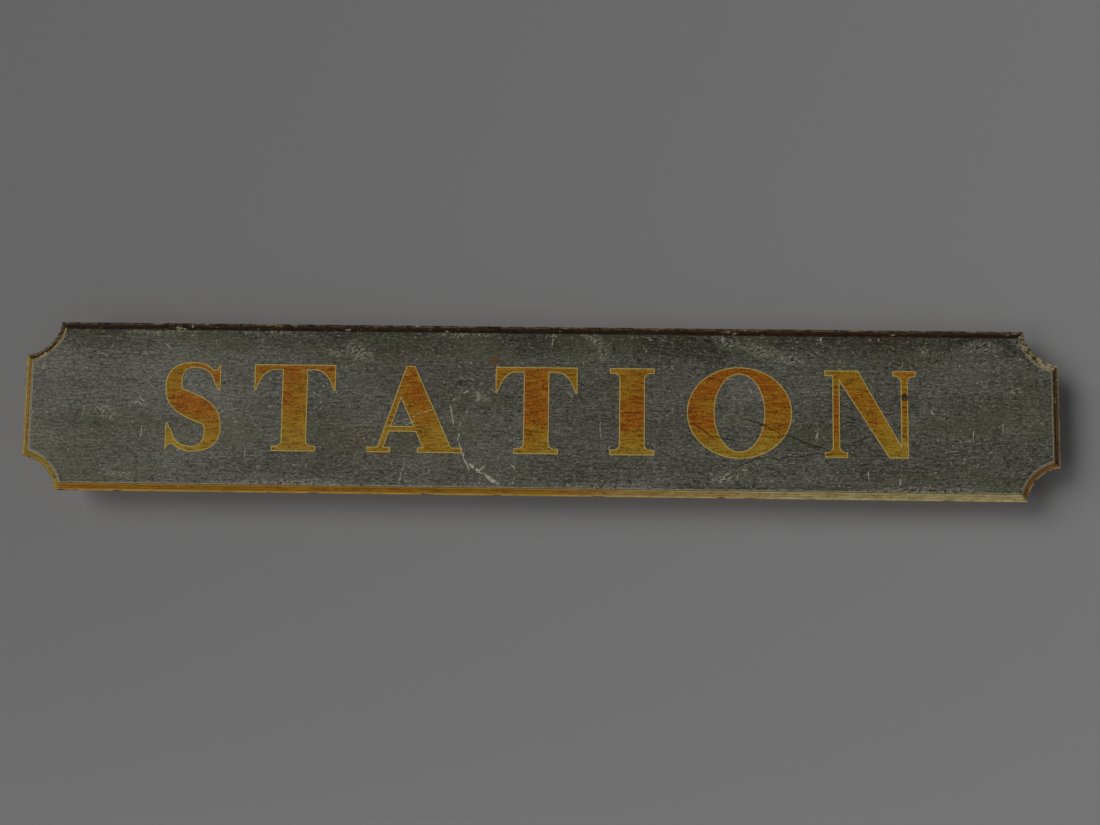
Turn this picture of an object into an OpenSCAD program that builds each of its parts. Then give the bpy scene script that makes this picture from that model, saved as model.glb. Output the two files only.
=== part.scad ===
// Painted wooden railway station name board with scooped corners.
// +X runs along the board, +Z is up and the painted face looks along -Y.
// The origin is on the wall plane behind the middle of the board.

/* [Board] */
// Overall length of the board
board_l = 2438; // [2100:1:3200]
// Overall height of the board
board_h = 400; // [360:1:520]
// Thickness of the plank
plank_t = 28; // [25:0.5:40]
// Distance from each square corner to the two points of its scoop
scoop_w = 80; // [60:1:100]
// How far beyond the square corner the centre of the scoop's arc lies, both ways
scoop_set = 12; // [0:1:20]

/* [Edge moulding] */
// Width of the moulding, seen from the front
mould_w = 18; // [15:0.5:26]
// Depth of the rebate that the moulding is planted in, from the painted face
rebate_d = 14; // [12:0.5:18]
// Width of the flat lip along the outer edge
lip_w = 3.5; // [2:0.5:5]
// Depth of the lip below the painted face
lip_d = 8; // [6.5:0.5:9]
// Height of the small step between lip and bevel
lip_step = 1; // [0.5:0.25:2]
// Depth of the bevel's inner edge below the painted face
bevel_d = 1.5; // [1:0.25:3]
// Width of the groove between bevel and painted face
quirk_w = 1.5; // [1:0.25:3]
// Depth of that groove below the painted face
quirk_d = 3.5; // [3.25:0.25:5]

/* [Moulding brads] */
// Diameter of a brad's shank
brad_d = 1.8; // [1.4:0.1:2.4]
// Diameter of a brad's head
brad_head_d = 3; // [2.5:0.1:4]
// Length of a brad
brad_l = 19; // [15:1:21]
// Number of brads in the top and in the bottom moulding
long_brads = 8; // [4:1:14]
// Number of brads in each end moulding
end_brads = 2; // [2:1:4]
// How far the outermost brads stay from the points of the scoops
brad_end_gap = 45; // [30:1:60]

/* [Battens] */
// Width of a batten
batten_w = 90; // [80:1:120]
// Thickness of a batten
batten_t = 22; // [19:0.5:32]
// Gap between a batten's ends and the long edges of the board
batten_margin = 35; // [25:1:45]
// Distance from the board's end to the centre of an outer batten
batten_inset = 429; // [300:1:500]
// Bevel on the back edge of a batten's ends
batten_bevel = 8; // [0:1:12]

/* [Batten screws] */
// Diameter of a batten screw
screw_d = 5; // [4:0.1:6]
// Diameter of a batten screw's head
screw_head_d = 9.5; // [8:0.1:12]
// Length of a batten screw
screw_l = 42; // [36:1:44]
// Number of screws in each batten, in a zigzag
batten_screws_n = 4; // [3:1:5]
// Distance from a screw to the batten's nearer long edge
screw_side_gap = 13; // [10:1:15]
// Distance from the outermost screws to the batten's ends
screw_end_gap = 25; // [20:1:35]

/* [Hanger plates] */
// Width of a hanger plate
plate_w = 36; // [32:1:40]
// Height of a hanger plate
plate_h = 110; // [104:1:120]
// Thickness of a hanger plate, let in flush
plate_t = 3; // [2:0.5:4]
// Height of a hanger plate's centre above the middle of the board
plate_z = 98; // [80:1:100]
// Diameter of the keyhole's round entry
keyhole_d = 14; // [12:0.5:15]
// Width of the keyhole's slot
slot_w = 8; // [6:0.5:9]
// Distance from the entry's centre to the centre of the slot's round end
slot_l = 18; // [15:1:20]
// How far below the plate's centre the entry's centre is
keyhole_drop = 12; // [8:1:14]
// Depth of the pocket behind the plate for the wall screw's head
pocket_d = 10; // [8:0.5:12]
// Room round the keyhole inside the pocket
pocket_room = 3; // [2:0.5:4]
// Diameter of a plate screw
plate_screw_d = 4; // [3.5:0.1:5]
// Diameter of a plate screw's head
plate_screw_head_d = 8; // [7:0.1:9]
// Length of a plate screw
plate_screw_l = 16; // [13:1:18]
// Distance from a plate screw to the plate's end
plate_screw_gap = 9; // [8:1:11]

/* [Bolt hole] */
// Diameter of the bolt hole through the plank
bolt_hole_d = 10; // [8:0.5:14]
// Distance from the board's right-hand end to the bolt hole
bolt_hole_inset = 362; // [340:1:375]
// Height of the bolt hole above the middle of the board
bolt_hole_z = 41; // [0:1:60]

/* [Lettering] */
// Height of the capital letters
cap_h = 205; // [160:1:250]
// Distance from the board's ends to the lettering
text_margin = 336; // [300:1:380]
// Thickness of a thick stroke
thick = 60; // [45:1:70]
// Thickness of a thin stroke
thin = 13; // [9:0.5:18]
// Radius of the brackets between strokes and serifs
bracket_r = 13; // [6:1:16]
// Thickness of the paint film
film_t = 0.4; // [0.3:0.05:1]
// How far the paint has come away round the bolt hole
paint_chip = 1.2; // [0.5:0.1:3]

/* [Clearances] */
// Gap at the mitres and between moulding and rebate
joint_gap = 0.3; // [0.1:0.05:0.6]
// Gap round a screw in a batten and round a let-in plate
fit_gap = 0.3; // [0.1:0.05:0.5]
// How far a screw or brad head lies below its surface
head_set = 0.4; // [0.2:0.1:1]

/* [Hidden] */
$fn = 64;
eps = 0.01;
over = 5; // how far a cutting tool reaches past what it cuts

half_l = board_l / 2;
half_h = board_h / 2;
face_y = -(batten_t + plank_t);
rebate_y = face_y + rebate_d;
batten_x = half_l - batten_inset;
batten_h = board_h - 2 * batten_margin;

// The scoop's arc, and where its inner line meets the moulding's inner line
scoop_r = norm([scoop_w + scoop_set, scoop_set]);
scoop_reach = sqrt(pow(scoop_r + mould_w, 2) - pow(scoop_set + mould_w, 2));
mitre_run = scoop_reach - scoop_set - scoop_w;

// Where the mitre line is, measured from the square corner, at a distance u from the board's edge
function mitre_at(u) = scoop_w + mitre_run * u / mould_w;

// Moulding section: u is the distance in from the outer edge, y is the row frame's own
mould_section = [
    [0, rebate_y],
    [0, face_y + lip_d],
    [lip_w, face_y + lip_d],
    [lip_w, face_y + lip_d - lip_step],
    [mould_w - joint_gap - quirk_w, face_y + bevel_d],
    [mould_w - joint_gap - quirk_w, face_y + quirk_d],
    [mould_w - joint_gap, face_y + quirk_d],
    [mould_w - joint_gap, rebate_y]
];

// A brad stands in the middle of the bevel
brad_u = (lip_w + mould_w - quirk_w) / 2;
brad_y = face_y + (lip_d - lip_step + bevel_d) / 2 + head_set;
brad_head_t = 1;
brad_point_l = 3;

// Heights of the keyhole's entry and of the screws of a plate, and the slot in a screw's head
keyhole_z = plate_z - keyhole_drop;
plate_screw_z = plate_h / 2 - plate_screw_gap;
screw_slot_w = 1.2;
screw_slot_d = 1.1;

// Places of the screws of one batten, about its centre
screw_x = batten_w / 2 - screw_side_gap;
screw_pitch = (batten_h - 2 * screw_end_gap) / (batten_screws_n - 1);
screw_places = [
    for (i = [0 : batten_screws_n - 1])
        [(i % 2 == 0 ? 1 : -1) * screw_x, -batten_h / 2 + screw_end_gap + i * screw_pitch]
];

// Places of the brads, as x and z
long_brad_span = board_l - 2 * (scoop_w + brad_end_gap);
end_brad_span = board_h - 2 * (scoop_w + brad_end_gap);
long_brad_places = [
    for (i = [0 : long_brads - 1])
        [(i / (long_brads - 1) - 0.5) * long_brad_span, half_h - brad_u]
];
end_brad_places = [
    for (i = [0 : end_brads - 1])
        [half_l - brad_u, (i / (end_brads - 1) - 0.5) * end_brad_span]
];
// Two brads in each scoop moulding, at these angles about the arc's centre
scoop_brad_angles = [205, 245];
scoop_brad_places = [
    for (sx = [-1, 1], sz = [-1, 1], a = scoop_brad_angles) [
        sx * (half_l + scoop_set + (scoop_r + brad_u) * cos(a)),
        sz * (half_h + scoop_set + (scoop_r + brad_u) * sin(a))
    ]
];

// ---------- helpers ----------

// Turns a drawing in x and z into a plate that reaches from y to y + depth
module plate_at(y, depth) {
    translate([0, y + depth, 0])
        rotate([90, 0, 0])
            linear_extrude(depth)
                children();
}

// Outline of the board with its four scoops, drawn inset from the edge
module board_outline(inset) {
    difference() {
        square([board_l - 2 * inset, board_h - 2 * inset], center = true);
        for (sx = [-1, 1], sz = [-1, 1])
            translate([sx * (half_l + scoop_set), sz * (half_h + scoop_set)])
                circle(scoop_r + inset);
    }
}

// An upright slot with round ends, l long between their centres
module round_slot(w, l) {
    square([w, l], center = true);
    for (s = [-1, 1])
        translate([0, s * l / 2])
            circle(w / 2);
}

// Wood screw with its head's top at the origin, pointing along -Z
module wood_screw(d, head_d, length, gap = 0) {
    head_t = (head_d - d) / 2;
    translate([0, 0, -head_t])
        cylinder(h = head_t, d1 = d + 2 * gap, d2 = head_d + 2 * gap);
    translate([0, 0, d - length])
        cylinder(h = length - d - head_t, d = d + 2 * gap);
    translate([0, 0, -length])
        cylinder(h = d, d1 = 0.4, d2 = d + 2 * gap);
}

module slotted_screw(d, head_d, length) {
    difference() {
        wood_screw(d, head_d, length);
        translate([0, 0, -screw_slot_d / 2 + eps])
            cube([head_d + over, screw_slot_w, screw_slot_d], center = true);
    }
}

// Puts a screw that points along -Z at a place on the back, its head just below the surface
module driven_from_back(x, z) {
    translate([x, -head_set, z])
        rotate([-90, 0, 0])
            children();
}

// Cut brad that points along +Y from its head at a place on the front
module brad(place) {
    translate([place[0], brad_y, place[1]])
        rotate([-90, 0, 0]) {
            cylinder(h = brad_head_t, d = brad_head_d);
            cylinder(h = brad_l - brad_point_l, d = brad_d);
            translate([0, 0, brad_l - brad_point_l])
                cylinder(h = brad_point_l, d1 = brad_d, d2 = 0.3);
        }
}

// The way a brad is driven through a moulding, open to the front
module brad_way(place) {
    brad(place);
    translate([place[0], brad_y - over, place[1]])
        rotate([-90, 0, 0])
            cylinder(h = over + eps, d = brad_head_d);
}

// ---------- plank ----------

module name_board() {
    color([0.27, 0.28, 0.24])
        difference() {
            union() {
                plate_at(rebate_y, plank_t - rebate_d)
                    board_outline(0);
                plate_at(face_y, rebate_d)
                    board_outline(mould_w);
            }
            for (p = concat(long_brad_places, end_brad_places, scoop_brad_places))
                brad(p);
            for (p = long_brad_places)
                brad([p[0], -p[1]]);
            for (p = end_brad_places)
                brad([-p[0], p[1]]);
            for (s = [-1, 0, 1], p = screw_places)
                driven_from_back(s * batten_x + p[0], p[1])
                    wood_screw(screw_d, screw_head_d, screw_l);
            bolt_way();
        }
}

// Hole for a bolt right through the plank, with some room round it where the paint has come away
module bolt_way(room = 0) {
    translate([half_l - bolt_hole_inset, face_y - over, bolt_hole_z])
        rotate([-90, 0, 0])
            cylinder(h = plank_t + 2 * over, d = bolt_hole_d + 2 * room);
}

// ---------- edge mouldings ----------

ochre = [0.52, 0.36, 0.10];
sooted = [0.16, 0.11, 0.07];

// Straight run along the top, between the mitres of its two scoops
module top_run() {
    mitre_gap = joint_gap / 2;
    difference() {
        intersection() {
            translate([-half_l, 0, half_h])
                rotate([0, 90, 0])
                    linear_extrude(board_l)
                        polygon(mould_section);
            plate_at(face_y - over, rebate_d + 2 * over)
                polygon([
                    for (s = [-1, 1], u = s < 0 ? [mould_w + over, -over] : [-over, mould_w + over])
                        [s * (half_l - mitre_at(u) - mitre_gap), half_h - u]
                ]);
        }
        for (p = long_brad_places)
            brad_way(p);
    }
}

// Straight run down the right-hand end, between the mitres of its two scoops
module right_run() {
    mitre_gap = joint_gap / 2;
    difference() {
        intersection() {
            translate([0, 0, -half_h])
                linear_extrude(board_h)
                    polygon([for (p = mould_section) [half_l - p[0], p[1]]]);
            plate_at(face_y - over, rebate_d + 2 * over)
                polygon([
                    for (s = [-1, 1], u = s < 0 ? [mould_w + over, -over] : [-over, mould_w + over])
                        [half_l - u, s * (half_h - mitre_at(u) - mitre_gap)]
                ]);
        }
        for (p = end_brad_places)
            brad_way(p);
    }
}

// Sawn piece round the top right-hand scoop, mitred at both points
module scoop_run() {
    mitre_gap = joint_gap / 2;
    far = 2 * mould_w;
    difference() {
        intersection() {
            translate([half_l + scoop_set, 0, half_h + scoop_set])
                rotate([90, 0, 0])
                    rotate_extrude($fn = 128)
                        polygon([for (p = mould_section) [scoop_r + p[0], -p[1]]]);
            plate_at(face_y - over, rebate_d + 2 * over)
                polygon([
                    [half_l + scoop_set, half_h + scoop_set],
                    [half_l - mitre_at(-over) + mitre_gap, half_h + over],
                    [half_l - mitre_at(far) + mitre_gap, half_h - far],
                    [half_l - far, half_h - mitre_at(far) + mitre_gap],
                    [half_l + over, half_h - mitre_at(-over) + mitre_gap]
                ]);
        }
        for (p = scoop_brad_places)
            brad_way(p);
    }
}

module top_moulding() {
    color(sooted)
        top_run();
}

module bottom_moulding() {
    color(ochre)
        mirror([0, 0, 1])
            top_run();
}

module left_moulding() {
    color(ochre)
        mirror([1, 0, 0])
            right_run();
}

module right_moulding() {
    color(sooted)
        right_run();
}

module top_left_scoop_moulding() {
    color(sooted)
        mirror([1, 0, 0])
            scoop_run();
}

module top_right_scoop_moulding() {
    color(sooted)
        scoop_run();
}

module bottom_left_scoop_moulding() {
    color(ochre)
        mirror([1, 0, 0])
            mirror([0, 0, 1])
                scoop_run();
}

module bottom_right_scoop_moulding() {
    color(ochre)
        mirror([0, 0, 1])
            scoop_run();
}

// ---------- brads ----------

brad_steel = [0.28, 0.20, 0.15];

module top_brads() {
    color(brad_steel)
        for (p = long_brad_places)
            brad(p);
}

module bottom_brads() {
    color(brad_steel)
        for (p = long_brad_places)
            brad([p[0], -p[1]]);
}

module left_brads() {
    color(brad_steel)
        for (p = end_brad_places)
            brad([-p[0], p[1]]);
}

module right_brads() {
    color(brad_steel)
        for (p = end_brad_places)
            brad(p);
}

module scoop_brads() {
    color(brad_steel)
        for (p = scoop_brad_places)
            brad(p);
}

// ---------- battens ----------

raw_pine = [0.47, 0.36, 0.24];

// Plain cleat across the back, its ends bevelled towards the wall
module batten_blank(x) {
    difference() {
        translate([x - batten_w / 2, -batten_t, -batten_h / 2])
            cube([batten_w, batten_t, batten_h]);
        for (s = [-1, 1])
            translate([x, 0, s * batten_h / 2])
                rotate([45, 0, 0])
                    cube([batten_w + over, sqrt(2) * batten_bevel, sqrt(2) * batten_bevel], center = true);
        for (p = screw_places)
            driven_from_back(x + p[0], p[1])
                batten_screw_way();
    }
}

// Clearance hole of a batten screw, countersunk and open to the back
module batten_screw_way() {
    wood_screw(screw_d, screw_head_d, screw_l, fit_gap);
    cylinder(h = over, d = screw_head_d + 2 * fit_gap);
}

// What an outer batten loses to its hanger plate, the pocket behind it and its screws
module hanger_cuts(x) {
    translate([x, 0, 0]) {
        plate_at(-plate_t, plate_t + over)
            translate([0, plate_z])
                square([plate_w + 2 * fit_gap, plate_h + 2 * fit_gap], center = true);
        plate_at(-plate_t - pocket_d, pocket_d + over)
            translate([0, keyhole_z + slot_l / 2])
                round_slot(keyhole_d + 2 * pocket_room, slot_l);
    }
    hanger_screw_row(x)
        wood_screw(plate_screw_d, plate_screw_head_d, plate_screw_l);
}

module hanger_screw_row(x) {
    for (s = [-1, 1])
        driven_from_back(x, plate_z + s * plate_screw_z)
            children();
}

module left_batten() {
    color(raw_pine)
        difference() {
            batten_blank(-batten_x);
            hanger_cuts(-batten_x);
        }
}

module middle_batten() {
    color(raw_pine)
        batten_blank(0);
}

module right_batten() {
    color(raw_pine)
        difference() {
            batten_blank(batten_x);
            hanger_cuts(batten_x);
        }
}

// ---------- batten screws ----------

screw_steel = [0.30, 0.28, 0.26];

module batten_screws(x) {
    color(screw_steel)
        for (p = screw_places)
            driven_from_back(x + p[0], p[1])
                slotted_screw(screw_d, screw_head_d, screw_l);
}

module left_batten_screws() {
    batten_screws(-batten_x);
}

module middle_batten_screws() {
    batten_screws(0);
}

module right_batten_screws() {
    batten_screws(batten_x);
}

// ---------- hanger plates ----------

module hanger_plate(x) {
    color([0.20, 0.18, 0.17])
        difference() {
            translate([x, 0, 0])
                plate_at(-plate_t, plate_t)
                    difference() {
                        translate([0, plate_z])
                            square([plate_w, plate_h], center = true);
                        translate([0, keyhole_z])
                            circle(d = keyhole_d);
                        translate([0, keyhole_z + slot_l / 2])
                            round_slot(slot_w, slot_l);
                    }
            hanger_screw_row(x)
                plate_screw_way();
        }
}

// Countersunk hole of a plate screw, open to the back
module plate_screw_way() {
    wood_screw(plate_screw_d, plate_screw_head_d, plate_screw_l, fit_gap);
    cylinder(h = over, d = plate_screw_head_d + 2 * fit_gap);
}

module left_hanger_plate() {
    hanger_plate(-batten_x);
}

module right_hanger_plate() {
    hanger_plate(batten_x);
}

module hanger_screws(x) {
    color(screw_steel)
        hanger_screw_row(x)
            slotted_screw(plate_screw_d, plate_screw_head_d, plate_screw_l);
}

module left_hanger_screws() {
    hanger_screws(-batten_x);
}

module right_hanger_screws() {
    hanger_screws(batten_x);
}

// ---------- lettering ----------

// Widths of the letters, for the cap height
letter_unit = cap_h / 100;
s_w = 66 * letter_unit;
t_w = 94 * letter_unit;
a_w = 110 * letter_unit;
i_w = thick + 2 * 11 * letter_unit;
o_w = 120 * letter_unit;
n_w = 104 * letter_unit;
widths = [s_w, t_w, a_w, t_w, i_w, o_w, n_w];
text_l = board_l - 2 * text_margin;
letter_gap = (text_l - sum(widths, len(widths))) / (len(widths) - 1);
letter_starts = [for (i = [0 : len(widths) - 1]) -text_l / 2 + sum(widths, i) + i * letter_gap];

// Sum of the first n numbers of a list
function sum(list, n) = n <= 0 ? 0 : list[n - 1] + sum(list, n - 1);

// Point of a cubic curve at t
function curve_at(c, t) =
    pow(1 - t, 3) * c[0] + 3 * pow(1 - t, 2) * t * c[1] + 3 * (1 - t) * t * t * c[2] + pow(t, 3) * c[3];

// Direction of a cubic curve at t, as a unit vector
function heading_at(c, t) =
    let (d = pow(1 - t, 2) * (c[1] - c[0]) + 2 * (1 - t) * t * (c[2] - c[1]) + t * t * (c[3] - c[2]))
    d / norm(d);

// Ellipse as points, about the origin
function ellipse(rx, ry, n = 96) = [for (i = [0 : n - 1]) [rx * cos(360 * i / n), ry * sin(360 * i / n)]];

// Rounds the inside corners of a drawing, as a sign painter brackets a serif
module bracketed() {
    offset(r = -bracket_r)
        offset(delta = bracket_r)
            children();
}

// Upright stroke with thin slab serifs at its head and foot
module serif_stem(x, w, reach, head = true, foot = true) {
    bracketed() {
        translate([x, 0])
            square([w, cap_h]);
        if (foot)
            translate([x - reach, 0])
                square([w + 2 * reach, thin]);
        if (head)
            translate([x - reach, cap_h - thin])
                square([w + 2 * reach, thin]);
    }
}

// Wedge serif that hangs from the end of a thin arm, with its upright side at x = 0
module wedge_serif(drop, run) {
    tip = 0.1 * run;
    hollow = [[-tip, -drop], [-0.25 * run, -0.6 * drop], [-0.5 * run, -thin], [-run, -thin]];
    polygon(concat(
        [[-run, 0], [0, 0], [0, -drop]],
        [for (i = [0 : 12]) curve_at(hollow, i / 12)]
    ));
}

module letter_t() {
    reach = 11 * letter_unit;
    serif_stem((t_w - thick) / 2, thick, reach, head = false);
    translate([0, cap_h - thin])
        square([t_w, thin]);
    translate([t_w, cap_h])
        wedge_serif(30 * letter_unit, 24 * letter_unit);
    translate([0, cap_h])
        mirror([1, 0])
            wedge_serif(30 * letter_unit, 24 * letter_unit);
}

module letter_i() {
    serif_stem((i_w - thick) / 2, thick, (i_w - thick) / 2);
}

module letter_o() {
    overshoot = 2.5 * letter_unit;
    translate([o_w / 2, cap_h / 2])
        difference() {
            polygon(ellipse(o_w / 2, cap_h / 2 + overshoot));
            polygon(ellipse(o_w / 2 - 1.08 * thick, cap_h / 2 + overshoot - 1.3 * thin));
        }
}

module letter_a() {
    foot_l = 10 * letter_unit;
    foot_r = a_w - 10 * letter_unit;
    apex_l = 44 * letter_unit;
    apex_r = 54 * letter_unit;
    slant_l = (apex_l - foot_l) / cap_h;
    slant_r = (foot_r - apex_r) / cap_h;
    inner_l = foot_l + 1.2 * thin;
    inner_r = foot_r - 1.12 * thick;
    meet_y = (inner_r - inner_l) / (slant_l + slant_r);
    bar_y = 24 * letter_unit;
    difference() {
        polygon([[foot_l, 0], [apex_l, cap_h], [apex_r, cap_h], [foot_r, 0]]);
        polygon([[inner_l, 0], [inner_l + slant_l * meet_y, meet_y], [inner_r, 0]]);
    }
    polygon([
        [inner_l + slant_l * bar_y - thin / 2, bar_y],
        [inner_l + slant_l * (bar_y + thin) - thin / 2, bar_y + thin],
        [inner_r - slant_r * (bar_y + thin) + thin, bar_y + thin],
        [inner_r - slant_r * bar_y + thin, bar_y]
    ]);
    square([foot_l + 1.2 * thin + 10 * letter_unit, thin]);
    translate([inner_r - 9 * letter_unit, 0])
        square([a_w - inner_r + 9 * letter_unit, thin]);
}

module letter_n() {
    stem = 1.3 * thin;
    reach = 9 * letter_unit;
    right_x = n_w - reach - stem;
    serif_stem(reach, stem, reach, head = false);
    serif_stem(right_x, stem, reach, foot = false);
    translate([0, cap_h - thin])
        square([reach + stem, thin]);
    polygon([
        [reach, cap_h],
        [reach + thick, cap_h],
        [right_x + stem, 0],
        [right_x + stem - 0.75 * thick, 0]
    ]);
}

// Centre line of the upper half of an S, from its middle to its upper tip, in hundredths of the cap height
s_curves = [
    [[0, 0], [-20, 8.5], [-23, 15], [-23, 26]],
    [[-23, 26], [-23, 40], [-13, 48.5], [0, 48.5]],
    [[0, 48.5], [14, 48.5], [24, 42], [27, 26]]
];
s_weights = [1, 0.66, 0.22, 0.2];

// One half of the S as a stroke whose thickness follows the weights
module s_half() {
    steps = 14;
    stations = [
        for (k = [0 : 2], i = [0 : steps - (k < 2 ? 1 : 0)])
            let (
                t = i / steps,
                c = [for (p = s_curves[k]) p * letter_unit],
                blend = (1 - cos(180 * t)) / 2,
                w = thick * (s_weights[k] * (1 - blend) + s_weights[k + 1] * blend),
                d = heading_at(c, t)
            )
            [curve_at(c, t), [-d[1], d[0]] * w / 2]
    ];
    polygon(concat(
        [for (s = stations) s[0] + s[1]],
        [for (i = [len(stations) - 1 : -1 : 0]) stations[i][0] - stations[i][1]]
    ));
}

module letter_s() {
    translate([s_w / 2, cap_h / 2])
        for (turn = [0, 180])
            rotate(turn) {
                s_half();
                translate([s_w / 2 - 2 * letter_unit, 0])
                    polygon([
                        [0, 50 * letter_unit],
                        [0, 19 * letter_unit],
                        [-2.5 * letter_unit, 19 * letter_unit],
                        [-9 * letter_unit, 34 * letter_unit],
                        [-14 * letter_unit, 42 * letter_unit],
                        [-4 * letter_unit, 44 * letter_unit]
                    ]);
            }
}

module lettering() {
    color([0.62, 0.38, 0.08])
        difference() {
            for (i = [0 : len(widths) - 1])
                plate_at(face_y - film_t, film_t)
                    translate([letter_starts[i], -cap_h / 2])
                        letter(i);
            bolt_way(paint_chip);
        }
}

// Letters of the word, in order
module letter(i) {
    if (i == 0) letter_s();
    if (i == 1 || i == 3) letter_t();
    if (i == 2) letter_a();
    if (i == 4) letter_i();
    if (i == 5) letter_o();
    if (i == 6) letter_n();
}

name_board();
lettering();
top_moulding();
bottom_moulding();
left_moulding();
right_moulding();
top_left_scoop_moulding();
top_right_scoop_moulding();
bottom_left_scoop_moulding();
bottom_right_scoop_moulding();
top_brads();
bottom_brads();
left_brads();
right_brads();
scoop_brads();
left_batten();
middle_batten();
right_batten();
left_batten_screws();
middle_batten_screws();
right_batten_screws();
left_hanger_plate();
right_hanger_plate();
left_hanger_screws();
right_hanger_screws();
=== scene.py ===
"""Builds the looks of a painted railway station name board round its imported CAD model."""

import logging
import math
import random
from dataclasses import dataclass
from enum import Enum
from functools import reduce
from typing import Callable, Iterable, Sequence, Union

import bmesh
import bpy
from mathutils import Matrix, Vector


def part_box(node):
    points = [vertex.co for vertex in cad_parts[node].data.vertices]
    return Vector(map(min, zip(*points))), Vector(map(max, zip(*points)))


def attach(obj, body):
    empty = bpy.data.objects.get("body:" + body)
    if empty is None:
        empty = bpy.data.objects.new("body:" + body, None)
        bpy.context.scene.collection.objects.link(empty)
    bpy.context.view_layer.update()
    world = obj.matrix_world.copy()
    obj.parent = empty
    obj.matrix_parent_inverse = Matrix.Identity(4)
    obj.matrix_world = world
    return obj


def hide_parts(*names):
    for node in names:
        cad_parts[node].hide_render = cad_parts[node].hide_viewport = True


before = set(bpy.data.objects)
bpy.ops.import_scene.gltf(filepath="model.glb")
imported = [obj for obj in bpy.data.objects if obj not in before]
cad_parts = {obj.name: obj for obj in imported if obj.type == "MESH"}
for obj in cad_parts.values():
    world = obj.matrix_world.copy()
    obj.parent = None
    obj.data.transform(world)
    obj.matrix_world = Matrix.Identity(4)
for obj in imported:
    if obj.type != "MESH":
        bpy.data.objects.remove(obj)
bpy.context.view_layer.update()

logging.basicConfig(level=logging.INFO, format="%(message)s")
log = logging.getLogger("name_board")

Colour = tuple[float, float, float]
Place = tuple[float, float]
Row = tuple[float, ...]
Piece = bpy.types.Object
Finish = bpy.types.Material

# ---- sizes: some read from the CAD parts' boxes, the rest given

BOARD_LOW, BOARD_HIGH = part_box("name_board")
HALF_LENGTH = BOARD_HIGH.x
HALF_HEIGHT = BOARD_HIGH.z
FACE_Y = BOARD_LOW.y
BACK_Y = BOARD_HIGH.y
FILM_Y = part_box("lettering")[0].y
REBATE_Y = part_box("top_moulding")[1].y
SCOOP_WIDTH = HALF_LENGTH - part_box("top_moulding")[1].x
SCOOP_SET = 0.012
SCOOP_RADIUS = math.hypot(SCOOP_WIDTH + SCOOP_SET, SCOOP_SET)
MOULDING_WIDTH = 0.018
LIP_DEPTH = 0.0065
LIP_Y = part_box("top_moulding")[0].y + LIP_DEPTH
HOLE_FROM_END = 0.362
HOLE_HEIGHT = 0.041
HOLE = (HALF_LENGTH - HOLE_FROM_END, HOLE_HEIGHT)
BATTEN_END = 0.009
TOUCH = 1e-5


def srgb(red: int, green: int, blue: int) -> Colour:
    """Turns a colour as seen on a screen into the linear one that shaders use.

    Args:
        red: Red, from 0 to 255.
        green: Green, from 0 to 255.
        blue: Blue, from 0 to 255.

    Returns:
        The linear colour.
    """
    shares = [part / 255 for part in (red, green, blue)]
    return tuple(s / 12.92 if s <= 0.04045 else ((s + 0.055) / 1.055) ** 2.4 for s in shares)


def in_metres(rows: Iterable[Row]) -> Iterable[Row]:
    """Turns rows of millimetres into rows of metres."""
    return (tuple(value / 1000 for value in row) for row in rows)


# ---- shader expressions


def operator(operation: str, swapped: bool = False) -> Callable[["Field", "Number"], "Field"]:
    """Makes an arithmetic method of Field out of a Math node's operation.

    Args:
        operation: The Math node's operation.
        swapped: Whether the other value comes first.

    Returns:
        The method.
    """

    def apply(self: "Field", other: "Number") -> "Field":
        """Adds the Math node and returns its result."""
        values = (other, self) if swapped else (self, other)
        return self.graph.node("Math", {"operation": operation}, dict(enumerate(values)))

    return apply


class Field:
    """A shader socket that takes part in Python expressions."""

    __add__ = __radd__ = operator("ADD")
    __sub__ = operator("SUBTRACT")
    __rsub__ = operator("SUBTRACT", swapped=True)
    __mul__ = __rmul__ = operator("MULTIPLY")
    __pow__ = operator("POWER")
    at_least = operator("MAXIMUM")
    at_most = operator("MINIMUM")

    def __init__(self, graph: "Graph", socket: bpy.types.NodeSocket) -> None:
        """Keeps the socket and the graph that it belongs to."""
        self.graph, self.socket = graph, socket

    def __abs__(self) -> "Field":
        """Drops the sign."""
        return self.graph.node("Math", {"operation": "ABSOLUTE"}, {0: self})

    def sine(self) -> "Field":
        """Sine of a value in radians."""
        return self.graph.node("Math", {"operation": "SINE"}, {0: self})

    def clamped(self) -> "Field":
        """Keeps the value between 0 and 1."""
        return self.at_least(0.0).at_most(1.0)

    def between(self, low: "Number", high: "Number") -> "Field":
        """Rises softly from 0 at low to 1 at high, or falls where low is above high."""
        sockets = {"Value": self, "From Min": low, "From Max": high, "To Min": 0.0, "To Max": 1.0}
        return self.graph.node("MapRange", {"interpolation_type": "SMOOTHSTEP"}, sockets)


Number = Union[Field, float]
Paint = Union[Field, Colour]


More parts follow.
